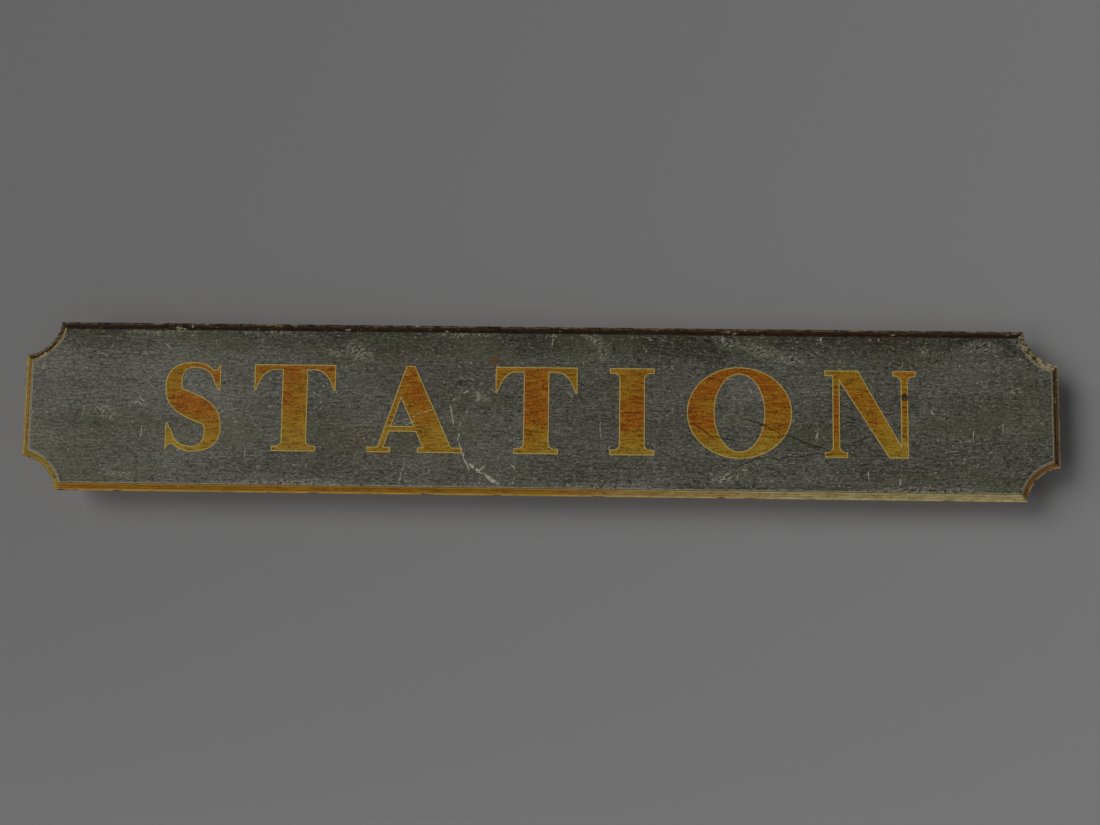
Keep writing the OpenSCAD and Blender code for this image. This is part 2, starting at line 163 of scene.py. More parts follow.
class Graph:
    """The node graph of one material."""

    def __init__(self, name: str) -> None:
        """Starts an empty material of this name."""
        self.material = bpy.data.materials.new(name)
        self.material.use_nodes = True
        self.tree = self.material.node_tree
        self.tree.nodes.clear()
        self.place = self.node("TexCoord", {}, {}, "Object")
        self.x, self.y, self.z = (self.node("SeparateXYZ", {}, {0: self.place}, axis) for axis in "XYZ")

    def node(
        self, kind: str, settings: dict[str, object], sockets: dict[int | str, object],
        output: int | str = 0,
    ) -> Field:
        """Adds one node.

        Args:
            kind: The node's type, without its first word ShaderNode.
            settings: Its settings; "stops" fills a colour ramp.
            sockets: Values or links of its inputs, by name or number.
            output: Which output to return.

        Returns:
            The chosen output.
        """
        made = self.tree.nodes.new(f"ShaderNode{kind}")
        for key, value in settings.items():
            if key == "stops":
                self._fill_ramp(made.color_ramp, value)
            else:
                setattr(made, key, value)
        for key, value in sockets.items():
            if isinstance(value, Field):
                self.tree.links.new(value.socket, made.inputs[key])
            elif isinstance(value, tuple) and len(value) == 3 and made.inputs[key].type == "RGBA":
                made.inputs[key].default_value = (*value, 1.0)
            else:
                made.inputs[key].default_value = value
        return Field(self, made.outputs[output])

    @staticmethod
    def _fill_ramp(ramp: bpy.types.ColorRamp, stops: Sequence[tuple[float, Colour]]) -> None:
        """Sets the stops of a colour ramp."""
        while len(ramp.elements) < len(stops):
            ramp.elements.new(0.5)
        for element, (position, colour) in zip(ramp.elements, stops):
            element.position = position
            element.color = (*colour, 1.0)

    def noise(
        self, scale: Colour, detail: float = 3.0, rough: float = 0.55, turn: float = 0.0,
        twist: float = 0.0, shift: Colour = (0.0, 0.0, 0.0),
    ) -> Field:
        """Soft noise from 0 to 1 on the object's own coordinates.

        Args:
            scale: Lumps per metre along X, Y and Z.
            detail: How many finer layers it has.
            rough: How strong the finer layers are.
            turn: Turn of the pattern about Y, in degrees.
            twist: How far the pattern is drawn out of shape.
            shift: Moves the pattern.

        Returns:
            The noise.
        """
        settings = {"vector_type": "POINT"}
        turned = self.place
        if turn:
            rotation = {0: self.place, "Rotation": (0.0, math.radians(turn), 0.0)}
            turned = self.node("Mapping", settings, rotation)
        moved = self.node("Mapping", settings, {0: turned, "Scale": scale, "Location": shift})
        sockets = {"Vector": moved, "Scale": 1.0, "Detail": detail, "Roughness": rough, "Distortion": twist}
        return self.node("TexNoise", {"noise_dimensions": "3D"}, sockets)

    def mix(self, share: Number, first: Paint, second: Paint) -> Field:
        """Mixes two colours, with the share of the second one."""
        settings = {"data_type": "RGBA", "blend_type": "MIX", "clamp_factor": True}
        return self.node("Mix", settings, {0: share, 6: first, 7: second}, 2)

    def coats(self, colour: Paint, *coats: tuple[Number, Paint]) -> Field:
        """Lays coats over a first colour, each with its share."""
        for share, paint in coats:
            colour = self.mix(share, colour, paint)
        return colour

    def ramp(self, value: Field, *stops: tuple[float, Colour]) -> Field:
        """Turns a number into a colour."""
        return self.node("ValToRGB", {"stops": stops}, {0: value})

    def spot(self, centre: Place, half: Place, turn: float = 0.0, wobbled: Field | None = None) -> Field:
        """A soft oval on the board's face: 1 at its centre and 0 at its edge.

        Args:
            centre: Its place along X and Z.
            half: Its half sizes along X and Z, before the turn.
            turn: How far its long way is turned up from X, in degrees.
            wobbled: Coordinates to use in place of the object's own.

        Returns:
            The oval.
        """
        sockets = {
            0: wobbled or self.place, "Location": (centre[0], FACE_Y, centre[1]),
            "Rotation": (0.0, math.radians(-turn), 0.0), "Scale": (half[0], 1.0, half[1]),
        }
        local = self.node("Mapping", {"vector_type": "TEXTURE"}, sockets)
        return self.node("TexGradient", {"gradient_type": "SPHERICAL"}, {0: local}, 1)

    def wobble(self, scale: float, reach: float) -> Field:
        """The object's coordinates, shaken by noise.

        Args:
            scale: Lumps of noise per metre.
            reach: How far a point may move, in metres.

        Returns:
            The shaken coordinates.
        """
        sockets = {"Vector": self.place, "Scale": scale, "Detail": 3.0}
        shake = self.node("TexNoise", {"noise_dimensions": "3D"}, sockets, 1)
        centred = self.node("VectorMath", {"operation": "SUBTRACT"}, {0: shake, 1: (0.5,) * 3})
        scaled = self.node("VectorMath", {"operation": "SCALE"}, {0: centred, "Scale": reach})
        return self.node("VectorMath", {"operation": "ADD"}, {0: self.place, 1: scaled})

    def from_edge(self) -> Field:
        """Distance in from the board's outline, scoops included, in metres."""
        side = HALF_LENGTH - abs(self.x)
        top = HALF_HEIGHT - abs(self.z)
        across = HALF_LENGTH + SCOOP_SET - abs(self.x)
        up = HALF_HEIGHT + SCOOP_SET - abs(self.z)
        round_scoop = (across * across + up * up) ** 0.5 - SCOOP_RADIUS
        return side.at_most(top).at_most(round_scoop)

    def finish(
        self, colour: Paint, roughness: Number, height: Field, relief: float, metallic: Number = 0.0,
        specular: float = 0.5,
    ) -> Finish:
        """Joins the surface together.

        Args:
            colour: Base colour.
            roughness: Roughness.
            height: Relief from 0 to 1.
            relief: What a height of 1 stands for, in metres.
            metallic: Share of bare metal.
            specular: Strength of the sheen at right angles.

        Returns:
            The material.
        """
        bump = self.node("Bump", {}, {"Height": height, "Strength": 1.0, "Distance": relief})
        sockets = {
            "Base Color": colour, "Roughness": roughness, "Metallic": metallic,
            "Specular IOR Level": specular, "Normal": bump,
        }
        surface = self.node("BsdfPrincipled", {}, sockets)
        self.node_output(surface)
        return self.material

    def node_output(self, surface: Field) -> None:
        """Links a surface to the material's output."""
        output = self.tree.nodes.new("ShaderNodeOutputMaterial")
        self.tree.links.new(surface.socket, output.inputs["Surface"])


# ---- marks of use on the face


@dataclass(frozen=True)
class Scratch:
    """A thin stroke that a knock or scrape left, between two places on the face."""

    start: Place
    end: Place
    width: float

    def draw(self, graph: Graph, wobbled: Field) -> Field:
        """Draws the stroke as a thin oval.

        Args:
            graph: The material's graph.
            wobbled: Shaken coordinates.

        Returns:
            1 along the stroke's middle and 0 off it.
        """
        run, rise = self.end[0] - self.start[0], self.end[1] - self.start[1]
        centre = ((self.start[0] + self.end[0]) / 2, (self.start[1] + self.end[1]) / 2)
        half = (math.hypot(run, rise) * 0.55, self.width)
        return graph.spot(centre, half, math.degrees(math.atan2(rise, run)), wobbled)


@dataclass(frozen=True)
class Scuff:
    """A patch where the paint is rubbed or flecked away."""

    centre: Place
    half: Place
    turn: float

    def draw(self, graph: Graph, wobbled: Field) -> Field:
        """Draws the patch as a soft oval."""
        return graph.spot(self.centre, self.half, self.turn, wobbled)


def strokes(*rows: Row) -> list[Scratch]:
    """Makes strokes out of rows in millimetres: X and Z of each end, and the width."""
    return [Scratch((x, z), (to_x, to_z), width) for x, z, to_x, to_z, width in in_metres(rows)]


def patches(*rows: Row) -> list[Scuff]:
    """Makes patches out of rows: X, Z and the two half sizes in millimetres, and the turn."""
    return [Scuff((x / 1000, z / 1000), (u / 1000, v / 1000), turn) for x, z, u, v, turn in rows]


SCRATCHES = strokes(
    (-210, 22, -197, -46, 1.8), (-164, 10, -189, -46, 2), (-188, -38, -189, -76, 2.2),
    (-191, -68, -171, -122, 2.4), (-175, -112, -157, -146, 3.2), (-170, -121, -128, -151, 4.4),
    (-136, -144, -84, -178, 5.8), (-170, 76, -150, 70, 1.8), (-204, 22, -188, 30, 2),
    (-178, 38, -164, 46, 2), (-168, 55, -152, 48, 1.8), (-150, 18, -130, 34, 2.4),
    (-148, 34, -134, 20, 2.2), (-118, 52, -108, 47, 2.2), (-140, 58, -130, 66, 1.8),
    (-330, -34, -236, 8, 1.8), (-374, -46, -330, -32, 1.8), (-318, -40, -286, -28, 1.4),
    (-146, -148, -118, -126, 2), (-70, -122, -48, -140, 1.8), (32, 197, 31, 140, 1.6),
    (145, -22, 147, -70, 1.3), (661, 190, 665, 160, 3), (902, 162, 903, 134, 2.2),
    (1017, -26, 1015, -62, 1.6), (992, -60, 1016, -62, 1.5), (1085, -14, 1086, -42, 1.7),
    (915, 10, 926, 0, 2.6), (-936, -48, -938, -78, 1.8), (-946, 22, -930, 8, 1.6),
    (-690, -98, -689, -122, 1.4), (-1050, 132, -1026, 120, 1.4), (618, -118, 620, -136, 2),
    (458, -130, 412, -172, 1.8), (462, -134, 500, -136, 1.4), (768, -130, 772, -158, 1.3),
    (842, -148, 846, -166, 1.6), (-770, -16, -700, -2, 1), (-568, 86, -520, 94, 1),
)

SCUFFS = patches(
    (-428, 140, 50, 30, -35), (-480, 132, 22, 12, 0), (128, 170, 55, 24, -30), (152, 134, 26, 22, 60),
    (440, 170, 50, 26, -25), (520, 146, 85, 22, -14), (592, 124, 60, 16, -12), (905, 148, 20, 18, 0),
    (1038, 158, 75, 22, 5), (1140, 166, 50, 20, -30), (-1016, -18, 40, 22, -20), (-940, 10, 30, 14, 0),
    (-140, 30, 24, 30, 65), (-900, 180, 120, 12, 0), (-640, 186, 140, 10, 0), (-180, 180, 100, 12, 0),
    (438, -152, 45, 22, 20), (-980, -160, 60, 12, 0), (-600, -176, 200, 12, 0), (140, -176, 160, 12, 0),
    (900, -176, 200, 12, 0), (1120, 58, 20, 12, 0),
)

CRACKS = strokes(
    (480, -12, 575, -48, 2), (560, -44, 700, -94, 2), (452, -128, 540, -102, 1.8),
    (525, -106, 700, -94, 1.8), (355, -26, 412, -56, 1.8), (722, -74, 790, -46, 1.7),
    (396, -52, 470, -70, 1.4), (346, 180, 374, 170, 3), (388, 176, 404, 164, 2.6),
    (428, 182, 466, 172, 3.4), (172, 158, 180, 140, 3),
)

RUST_CHIPS = patches((-374, -101, 24, 12, -15), (-104, 118, 16, 12, 20))


def union_of(graph: Graph, marks: Iterable[Scratch | Scuff], wobbled: Field) -> Field:
    """Joins marks into one mask: the strongest mark at each place, on shaken coordinates."""
    return reduce(Field.at_least, (mark.draw(graph, wobbled) for mark in marks))


@dataclass(frozen=True)
class Wear:
    """The masks of wear that the ground paint and the lettering share."""

    scratches: Field
    flecks: Field
    stripped: Field
    cracks: Field
    hairlines: Field

    @classmethod
    def on(cls, graph: Graph) -> "Wear":
        """Draws all the marks in a graph.

        Args:
            graph: The material's graph.

        Returns:
            The masks.
        """
        shaken = graph.wobble(34.0, 0.012)
        drifting = graph.wobble(11.0, 0.030)
        jagged = graph.wobble(26.0, 0.026)
        broken = graph.noise((150.0, 150.0, 150.0), 3.0, 0.6)
        crumbs = graph.noise((100.0, 100.0, 210.0), 4.0, 0.84, turn=24.0)
        scratches = union_of(graph, SCRATCHES, shaken).between(0.10, 0.45) * broken.between(0.38, 0.56)
        scuffs = union_of(graph, SCUFFS, drifting)
        flecks = (crumbs + scuffs * 0.12).between(0.640, 0.662) * scuffs.between(0.0, 0.25)
        haze = crumbs.between(0.42, 0.58) * scuffs.between(0.05, 0.55) * 0.34
        flecks = flecks.at_least(haze)
        stripped = (crumbs - scuffs * 0.16).between(0.36, 0.32) * scuffs.between(0.05, 0.3)
        cracks = union_of(graph, CRACKS, jagged).between(0.04, 0.30) * broken.between(0.22, 0.36)
        near = graph.noise((12.0, 1.0, 12.0), 3.0, 0.6, shift=(2.0, 0.0, 5.0))
        fall = graph.noise((24.0, 1.0, 210.0), 2.0, 0.6, turn=76.0, twist=0.9) * near.between(0.46, 0.54)
        rise = graph.noise((28.0, 1.0, 230.0), 2.0, 0.6, turn=-38.0, twist=0.9, shift=(7.0, 0.0, 3.0))
        level = graph.noise((16.0, 1.0, 240.0), 2.0, 0.5, turn=5.0, twist=0.4, shift=(1.0, 0.0, 9.0))
        rise = rise * near.between(0.52, 0.44)
        level = level * near.between(0.44, 0.60)
        hairlines = fall.at_least(rise).at_least(level).between(0.69, 0.72)
        return cls(scratches, flecks, stripped, cracks, hairlines)


# ---- finishes


@dataclass(frozen=True)
class GroundPaint:
    """Grey-green oil paint on a planed plank, chalked and dirty, with the wood's grain in it."""

    light: Colour = srgb(128, 127, 117)
    middle: Colour = srgb(82, 80, 70)
    dark: Colour = srgb(42, 39, 31)
    brown: Colour = srgb(80, 68, 47)
    olive: Colour = srgb(82, 86, 60)
    mauve: Colour = srgb(90, 83, 82)
    primer: Colour = srgb(176, 170, 152)
    rust: Colour = srgb(112, 60, 26)
    # Soot in the grain checks and cracks, and painted shade in the dark ring round the bolt hole.
    soot_and_shade: Colour = srgb(30, 26, 20)

    def make(self) -> Finish:
        """Builds the material.

        Returns:
            The material.
        """
        g = Graph("ground_paint")
        wear = Wear.on(g)
        grain = g.noise((36.0, 1.0, 190.0), 4.0, 0.72)
        bands = g.noise((1.1, 1.0, 46.0), 4.0, 0.6, twist=0.4)
        clouds = g.noise((3.2, 1.0, 5.0), 6.0, 0.66)
        grit = g.noise((100.0, 100.0, 270.0), 3.0, 0.92)
        fibres = g.noise((9.0, 1.0, 420.0), 3.0, 0.62)
        # The face is made lighter towards the left end and darker near the top.
        left = g.x.between(0.2, -1.0)
        high = g.z.between(0.10, 0.19)
        tone = (clouds * 0.85 + bands * 0.40) + (grain * 1.45 + grit * 3.00) + left * 0.15 - high * 0.32
        tone = tone + fibres * 0.40 - 2.65
        stain = g.noise((2.1, 1.0, 6.0), 5.0, 0.6, shift=(4.0, 0.0, 1.0)).between(0.47, 0.68)
        hue = g.noise((4.5, 1.0, 9.0), 4.0, 0.6, shift=(9.0, 0.0, 4.0))
        checks = grain.between(0.36, 0.26) * bands.between(0.42, 0.58)
        salt = g.noise((190.0, 190.0, 190.0), 1.0, 0.5, shift=(0.0, 3.0, 0.0)).between(0.71, 0.74)
        edge = g.from_edge()
        ragged = g.noise((60.0, 60.0, 150.0), 4.0, 0.7)
        rubbed = edge.between(MOULDING_WIDTH + 0.030, MOULDING_WIDTH + 0.002)
        rubbed = rubbed * ragged.between(0.58, 0.68) * 0.5
        worn_line = edge.between(MOULDING_WIDTH + 0.0030, MOULDING_WIDTH + 0.0016)
        worn_line = worn_line * g.z.between(HALF_HEIGHT - 0.018, HALF_HEIGHT - 0.030)
        rubbed = rubbed.at_least(worn_line * ragged.between(0.36, 0.50) * 0.50)
        fine = (wear.hairlines * 0.62).at_least(salt * 0.60)
        pale = (wear.scratches * 0.95).at_least(wear.flecks * 0.70).at_least(fine).at_least(rubbed)
        chip = union_of(g, RUST_CHIPS, g.wobble(70.0, 0.010)).between(0.25, 0.55)
        # A dark ring round the bolt hole: soot, and painted shade that makes the hole read darker.
        ring = g.spot(HOLE, (0.014, 0.014), 0.0, g.wobble(240.0, 0.004)).between(0.30, 0.50)
        colour = g.coats(
            g.ramp(tone.clamped(), (0.0, self.dark), (0.40, self.middle), (1.0, self.light)),
            (stain * 0.26, self.brown), (hue.between(0.52, 0.66) * 0.34, self.olive),
            (hue.between(0.46, 0.32) * 0.36, self.mauve), (checks * 0.55, self.soot_and_shade), (pale, self.primer),
            (wear.cracks.at_least(wear.stripped) * 0.8, self.soot_and_shade), (chip * 0.65, self.rust),
            (ring * 0.9, self.soot_and_shade),
        )
        roughness = 0.62 + clouds * 0.16 + pale * 0.12
        height = fibres * 0.35 + grain * 0.25 + grit * 0.20 + bands * 0.20 - pale * 0.30 - wear.cracks * 0.5
        return g.finish(colour, roughness, height, 0.0007, specular=0.12)


@dataclass(frozen=True)
class SignPaint:
    """Gold-ochre lettering paint, brushed on along the board and gone orange in places."""

    name: str
    gold: Colour = srgb(156, 112, 26)
    orange: Colour = srgb(156, 84, 14)
    lemon: Colour = srgb(162, 136, 46)
    pale: Colour = srgb(188, 168, 96)
    umber: Colour = srgb(74, 38, 4)
    ground: Colour = srgb(84, 76, 54)
    primer: Colour = srgb(186, 172, 128)
    # Soot and painted shade in the dark ring round the bolt hole.
    soot_and_shade: Colour = srgb(46, 28, 12)
    rim: bool = False

    def make(self) -> Finish:
        """Builds the material.

        Returns:
            The material.
        """
        g = Graph(self.name)
        wear = Wear.on(g)
        brush = g.noise((24.0, 1.0, 170.0), 4.0, 0.70)
        mottle = g.noise((150.0, 1.0, 230.0), 4.0, 0.88)
        clouds = g.noise((5.5, 1.0, 8.0), 5.0, 0.60, twist=0.8, shift=(1.7, 0.0, 0.4))
        spill = clouds * 0.75 + (mottle - 0.5) * 0.30 + self.above_tide(g) * 0.17 + g.x * 0.04
        turned = spill.between(0.47, 0.60)
        lower = g.z.between(-0.02, -0.09) * clouds.between(0.62, 0.44)
        streaks = (brush * 0.8 + mottle * 0.9).between(0.78, 1.02)
        bright = (brush * 0.6 + mottle * 0.9).between(0.74, 0.56)
        thin = g.noise((40.0, 1.0, 200.0), 4.0, 0.75, shift=(3.0, 0.0, 9.0)).between(0.60, 0.72)
        faded_rim = [(mottle.between(0.68, 0.44) * 0.60 + 0.35, self.pale)] if self.rim else []
        pale = wear.scratches.at_least(wear.flecks * 0.6).at_least(wear.hairlines * 0.35)
        # A dark ring round the bolt hole: soot, and painted shade that makes the hole read darker.
        ring = g.spot(HOLE, (0.0115, 0.0115), 0.0, g.wobble(240.0, 0.003)).between(0.10, 0.36)
        colour = g.coats(
            self.gold, (lower * 0.85, self.lemon), (turned * 0.88, self.orange),
            (streaks * 0.85, self.umber), (bright * 0.60, self.lemon), (thin * 0.45, self.ground),
            *faded_rim, (pale * 0.7, self.primer), ((wear.cracks * 0.8).at_most(0.8), self.umber),
            (ring * 0.85, self.soot_and_shade),
        )
        roughness = 0.50 + mottle * 0.18 + pale * 0.15
        height = brush * 0.45 + mottle * 0.25 - pale * 0.3 - wear.cracks * 0.5
        return g.finish(colour, roughness, height, 0.0006, specular=0.10)

    @staticmethod
    def above_tide(g: Graph) -> Field:
        """Where damp has turned the gold: 1 above a wavy line across the letters and 0 below it."""
        waves = g.noise((11.0, 1.0, 1.0), 4.0, 0.6, shift=(0.0, 0.0, 6.0))
        swing = g.noise((2.6, 1.0, 0.2), 1.0, 0.5, shift=(3.0, 0.0, 2.0))
        return (g.z + waves * 0.05 + swing * 0.22 - 0.135).between(-0.040, -0.022)


@dataclass(frozen=True)
class MouldingTint:
    """The colours of one way of ageing, with the shares of the lines along its two edges and of the painted
    shade in its quirk.
    """

    lip: Colour
    bevel: Colour
    streak: Colour
    outer: tuple[Colour, float]
    inner: tuple[Colour, float]
    far_lip: Colour | None = None
    far_bevel: Colour | None = None
    far_streak: Colour | None = None
    ragged: float = 0.10
    # Share of the painted shade: a dark line along the quirk groove.
    quirk_shade: float = 0.75
    inner_width: float = 0.0046


CREAM = srgb(182, 170, 134)
STRAW = srgb(176, 150, 78)


class Weather(Enum):
    """How a stretch of the edge moulding has aged."""

    SOOTED = MouldingTint(
        lip=srgb(14, 9, 6), bevel=srgb(20, 13, 8), streak=srgb(66, 42, 24), outer=(CREAM, 0.25),
        inner=(CREAM, 0.10), far_lip=srgb(50, 38, 26), far_bevel=srgb(36, 24, 15), quirk_shade=0.85,
        inner_width=0.0028,
    )
    OCHRE = MouldingTint(
        lip=srgb(182, 144, 62), bevel=srgb(162, 114, 22), streak=srgb(118, 76, 20), outer=(STRAW, 0.80),
        inner=(STRAW, 0.90), far_lip=srgb(190, 178, 136), far_bevel=srgb(182, 168, 120),
        far_streak=srgb(132, 112, 64), quirk_shade=0.20, inner_width=0.0032,
    )
    LEMON = MouldingTint(
        lip=srgb(130, 104, 44), bevel=srgb(150, 128, 46), streak=srgb(100, 82, 34), outer=(STRAW, 0.50),
        inner=(CREAM, 0.60), quirk_shade=0.45,
    )
    BURNT = MouldingTint(
        lip=srgb(150, 122, 78), bevel=srgb(150, 106, 56), streak=srgb(92, 58, 28), outer=(CREAM, 0.65),
        inner=(CREAM, 0.60), quirk_shade=0.45,
    )
    RUBBED = MouldingTint(
        lip=srgb(158, 128, 62), bevel=srgb(142, 114, 52), streak=srgb(96, 74, 36), outer=(STRAW, 0.75),
        inner=(CREAM, 0.85), quirk_shade=0.45, inner_width=0.0036,
    )
    BROWN = MouldingTint(
        lip=srgb(132, 108, 74), bevel=srgb(116, 88, 54), streak=srgb(60, 43, 27), outer=(CREAM, 0.65),
        inner=(CREAM, 0.70), inner_width=0.0032,
    )
    SCARRED = MouldingTint(
        lip=srgb(28, 19, 12), bevel=srgb(58, 41, 25), streak=srgb(32, 22, 14), outer=(CREAM, 0.45),
        inner=(STRAW, 0.95), far_lip=srgb(70, 49, 31), far_bevel=srgb(84, 60, 36), ragged=0.20,
        inner_width=0.0056,
    )


@dataclass(frozen=True)
class MouldingPaint:
    """Old paint on the edge moulding: painted shade in its quirk and on its outer sides, rubbed pale along
    its edges.
    """

    weather: Weather
    # Soot in spots, and painted shade in the quirk and on the strips' outer sides.
    soot_and_shade: Colour = srgb(22, 17, 12)
    step: float = 0.0035

    def make(self) -> Finish:
        """Builds the material.

        Returns:
            The material.
        """
        tint = self.weather.value
        g = Graph(f"moulding_{self.weather.name.lower()}")
        inward = g.from_edge()
        long_grain = g.noise((24.0, 180.0, 180.0), 4.0, 0.68)
        lumps = g.noise((60.0, 90.0, 120.0), 5.0, 0.74)
        blotches = g.noise((7.0, 9.0, 9.0), 4.0, 0.6)
        spots = g.noise((150.0, 150.0, 150.0), 3.0, 0.7)
        on_bevel = inward.between(self.step - 0.0006, self.step + 0.0006)
        faded = (g.x + blotches * 0.5).between(0.15, 0.95)
        lip = g.mix(faded, tint.lip, tint.far_lip or tint.lip)
        bevel = g.mix(faded, tint.bevel, tint.far_bevel or tint.bevel)
        streaks = (long_grain * 0.7 + lumps * 0.7 + blotches * 0.25).between(0.74, 0.98)
        streak = g.mix(faded, tint.streak, tint.far_streak or tint.streak)
        broken = (lumps * 0.9 + spots * 0.5).between(0.64, 0.72)
        ridge = abs(inward - self.step).between(0.0018, 0.0003)
        arris = inward.between(0.0016, 0.0003) * g.y.between(LIP_Y + 0.004, LIP_Y)
        upper_reed = abs(inward - 0.0066).between(0.0016, 0.0006)
        lower_reed = abs(inward - 0.0108).between(0.0014, 0.0005)
        # Painted shade: a dark line along the quirk groove, where shade falls.
        quirk_shade = abs(inward - (MOULDING_WIDTH - 0.0056)).between(0.0022, 0.0009)
        inner_line = MOULDING_WIDTH - tint.inner_width
        inner = inward.between(inner_line, inner_line + 0.0014) * (broken * 0.55 + 0.45)
        bare = (lumps + blotches * 0.5).between(1.0 - tint.ragged, 1.04 - tint.ragged)
        # Painted shade: the strip's outer sides, set back behind the lip, are darkened.
        side = g.y.between(LIP_Y + 0.0005, LIP_Y + 0.003)
        colour = g.coats(
            lip, (on_bevel, bevel), (streaks * 0.85, streak),
            (spots.between(0.58, 0.70) * 0.6, self.soot_and_shade),
            (ridge.at_least(arris) * broken * tint.outer[1], tint.outer[0]),
            (upper_reed.at_least(lower_reed) * long_grain.between(0.34, 0.50) * 0.65, streak),
            (quirk_shade * tint.quirk_shade, self.soot_and_shade), (inner * tint.inner[1], tint.inner[0]), (bare * 0.75, CREAM),
            (side * 0.5, self.soot_and_shade),
        )
        roughness = 0.64 + lumps * 0.22
        height = long_grain * 0.4 + lumps * 0.6 - streaks * 0.2
        return g.finish(colour, roughness, height, 0.0012, specular=0.12)


@dataclass(frozen=True)
class AgedPine:
    """Bare pine gone brown-grey, with long growth rings, knots and water stains."""

    name: str
    upright: bool = False
    early: Colour = srgb(150, 122, 86)
    late: Colour = srgb(98, 70, 42)
    grey: Colour = srgb(112, 104, 90)
    stain: Colour = srgb(50, 38, 26)

    def make(self) -> Finish:
        """Builds the material.

        Returns:
            The material.
        """
        g = Graph(self.name)
        along, across = (g.z, g.x) if self.upright else (g.x, g.z)
        drift = g.noise(self.lay(1.6, 3.0, 9.0), 3.0, 0.5)
        knots = self.knots(g)
        rings = (across * 62.0 + along * 0.9 + g.y * 20.0 + drift * 8.0 + knots * 3.0) * 6.283
        rings = rings.sine() * 0.5 + 0.5
        fibre = g.noise(self.lay(9.0, 260.0, 320.0), 4.0, 0.72)
        pores = g.noise(self.lay(22.0, 900.0, 1100.0), 2.0, 0.6)
        weather = g.noise(self.lay(2.4, 6.0, 8.0), 5.0, 0.62)
        late = (rings ** 3.0 * 0.75 + fibre * 0.5).clamped()
        damp = g.noise(self.lay(3.0, 4.0, 14.0), 6.0, 0.7, shift=(5.0, 0.0, 2.0)).between(0.54, 0.64)
        colour = g.coats(
            self.early, (late * 0.85, self.late), (weather.between(0.36, 0.66) * 0.7, self.grey),
            (pores.between(0.60, 0.74) * 0.5, self.stain), (knots.between(0.32, 0.62) * 0.75, self.stain),
            (damp * 0.40, self.stain), (g.from_edge().between(0.020, 0.004) * 0.45, self.stain),
        )
        roughness = 0.74 + fibre * 0.18
        height = fibre * 0.5 + rings * 0.35 - pores * 0.2
        return g.finish(colour, roughness, height, 0.0010, specular=0.25)

    def lay(self, along: float, through: float, across: float) -> Colour:
        """Scales for a pattern that follows the grain."""
        return (across, through, along) if self.upright else (along, through, across)

    def knots(self, g: Graph) -> Field:
        """A few knots, for the plank's back or for the battens."""
        spread = ((-0.93, 0.07), (-0.37, -0.09), (0.31, 0.11), (0.62, -0.05), (1.04, 0.02))
        upright = ((-0.80, -0.08), (0.012, 0.09), (0.775, -0.02))
        ovals = [
            g.spot(place, (0.012, 0.030) if self.upright else (0.045, 0.014), 0.0, g.wobble(30.0, 0.006))
            for place in (upright if self.upright else spread)
        ]
        return reduce(Field.at_least, ovals)


@dataclass(frozen=True)
class BrokenWood:
    """Wood laid bare where the edge has chipped."""

    fresh: Colour = srgb(158, 134, 98)
    dirty: Colour = srgb(78, 60, 40)

    def make(self) -> Finish:
        """Builds the material.

        Returns:
            The material.
        """
        g = Graph("broken_wood")
        splinter = g.noise((30.0, 700.0, 700.0), 4.0, 0.7)
        dirt = g.noise((60.0, 60.0, 60.0), 4.0, 0.6)
        colour = g.mix((splinter * 0.7 + dirt * 0.6).between(0.44, 0.80), self.fresh, self.dirty)
        return g.finish(colour, 0.8 + dirt * 0.15, splinter, 0.0015, specular=0.2)


@dataclass(frozen=True)
class Iron:
    """Dark iron or steel with rust in blooms and pits."""

    name: str
    bare: Colour
    rust: Colour = srgb(122, 70, 36)
    deep: Colour = srgb(66, 38, 24)
    rusted: float = 0.5

    def make(self) -> Finish:
        """Builds the material.

        Returns:
            The material.
        """
        g = Graph(self.name)
        blooms = g.noise((110.0, 110.0, 110.0), 6.0, 0.68)
        pits = g.noise((900.0, 900.0, 900.0), 3.0, 0.65)
        shade = g.noise((40.0, 40.0, 40.0), 3.0, 0.5)
        rust = (blooms + pits * 0.18 + (self.rusted - 0.5) * 0.35).between(0.54, 0.66)
        oxide = g.mix(pits.between(0.40, 0.62), self.rust, self.deep)
        colour = g.mix(rust, g.mix(shade * 0.5, self.bare, self.deep), oxide)
        metal = (1.0 - rust) * 0.85
        roughness = 0.42 + rust * 0.42 + pits * 0.08
        height = blooms * 0.3 + pits * 0.35 + rust * 0.3
        return g.finish(colour, roughness, height, 0.0003, metal, 0.5)


# ---- modelling


def deselect() -> None:
    """Deselects every object."""
    bpy.ops.object.select_all(action="DESELECT")


def hold(obj: Piece) -> None:
    """Makes one object the only selected and active one."""
    deselect()
    obj.select_set(True)
    bpy.context.view_layer.objects.active = obj


def apply_modifier(obj: Piece, kind: str, **settings: object) -> None:
    """Adds a modifier and applies it.

    Args:
        obj: The piece.
        kind: The modifier's type.
        **settings: Its settings.
    """
    hold(obj)
    made = obj.modifiers.new(kind.lower(), kind)
    made.show_viewport = False
    for key, value in settings.items():
        setattr(made, key, value)
    bpy.ops.object.modifier_apply(modifier=made.name)


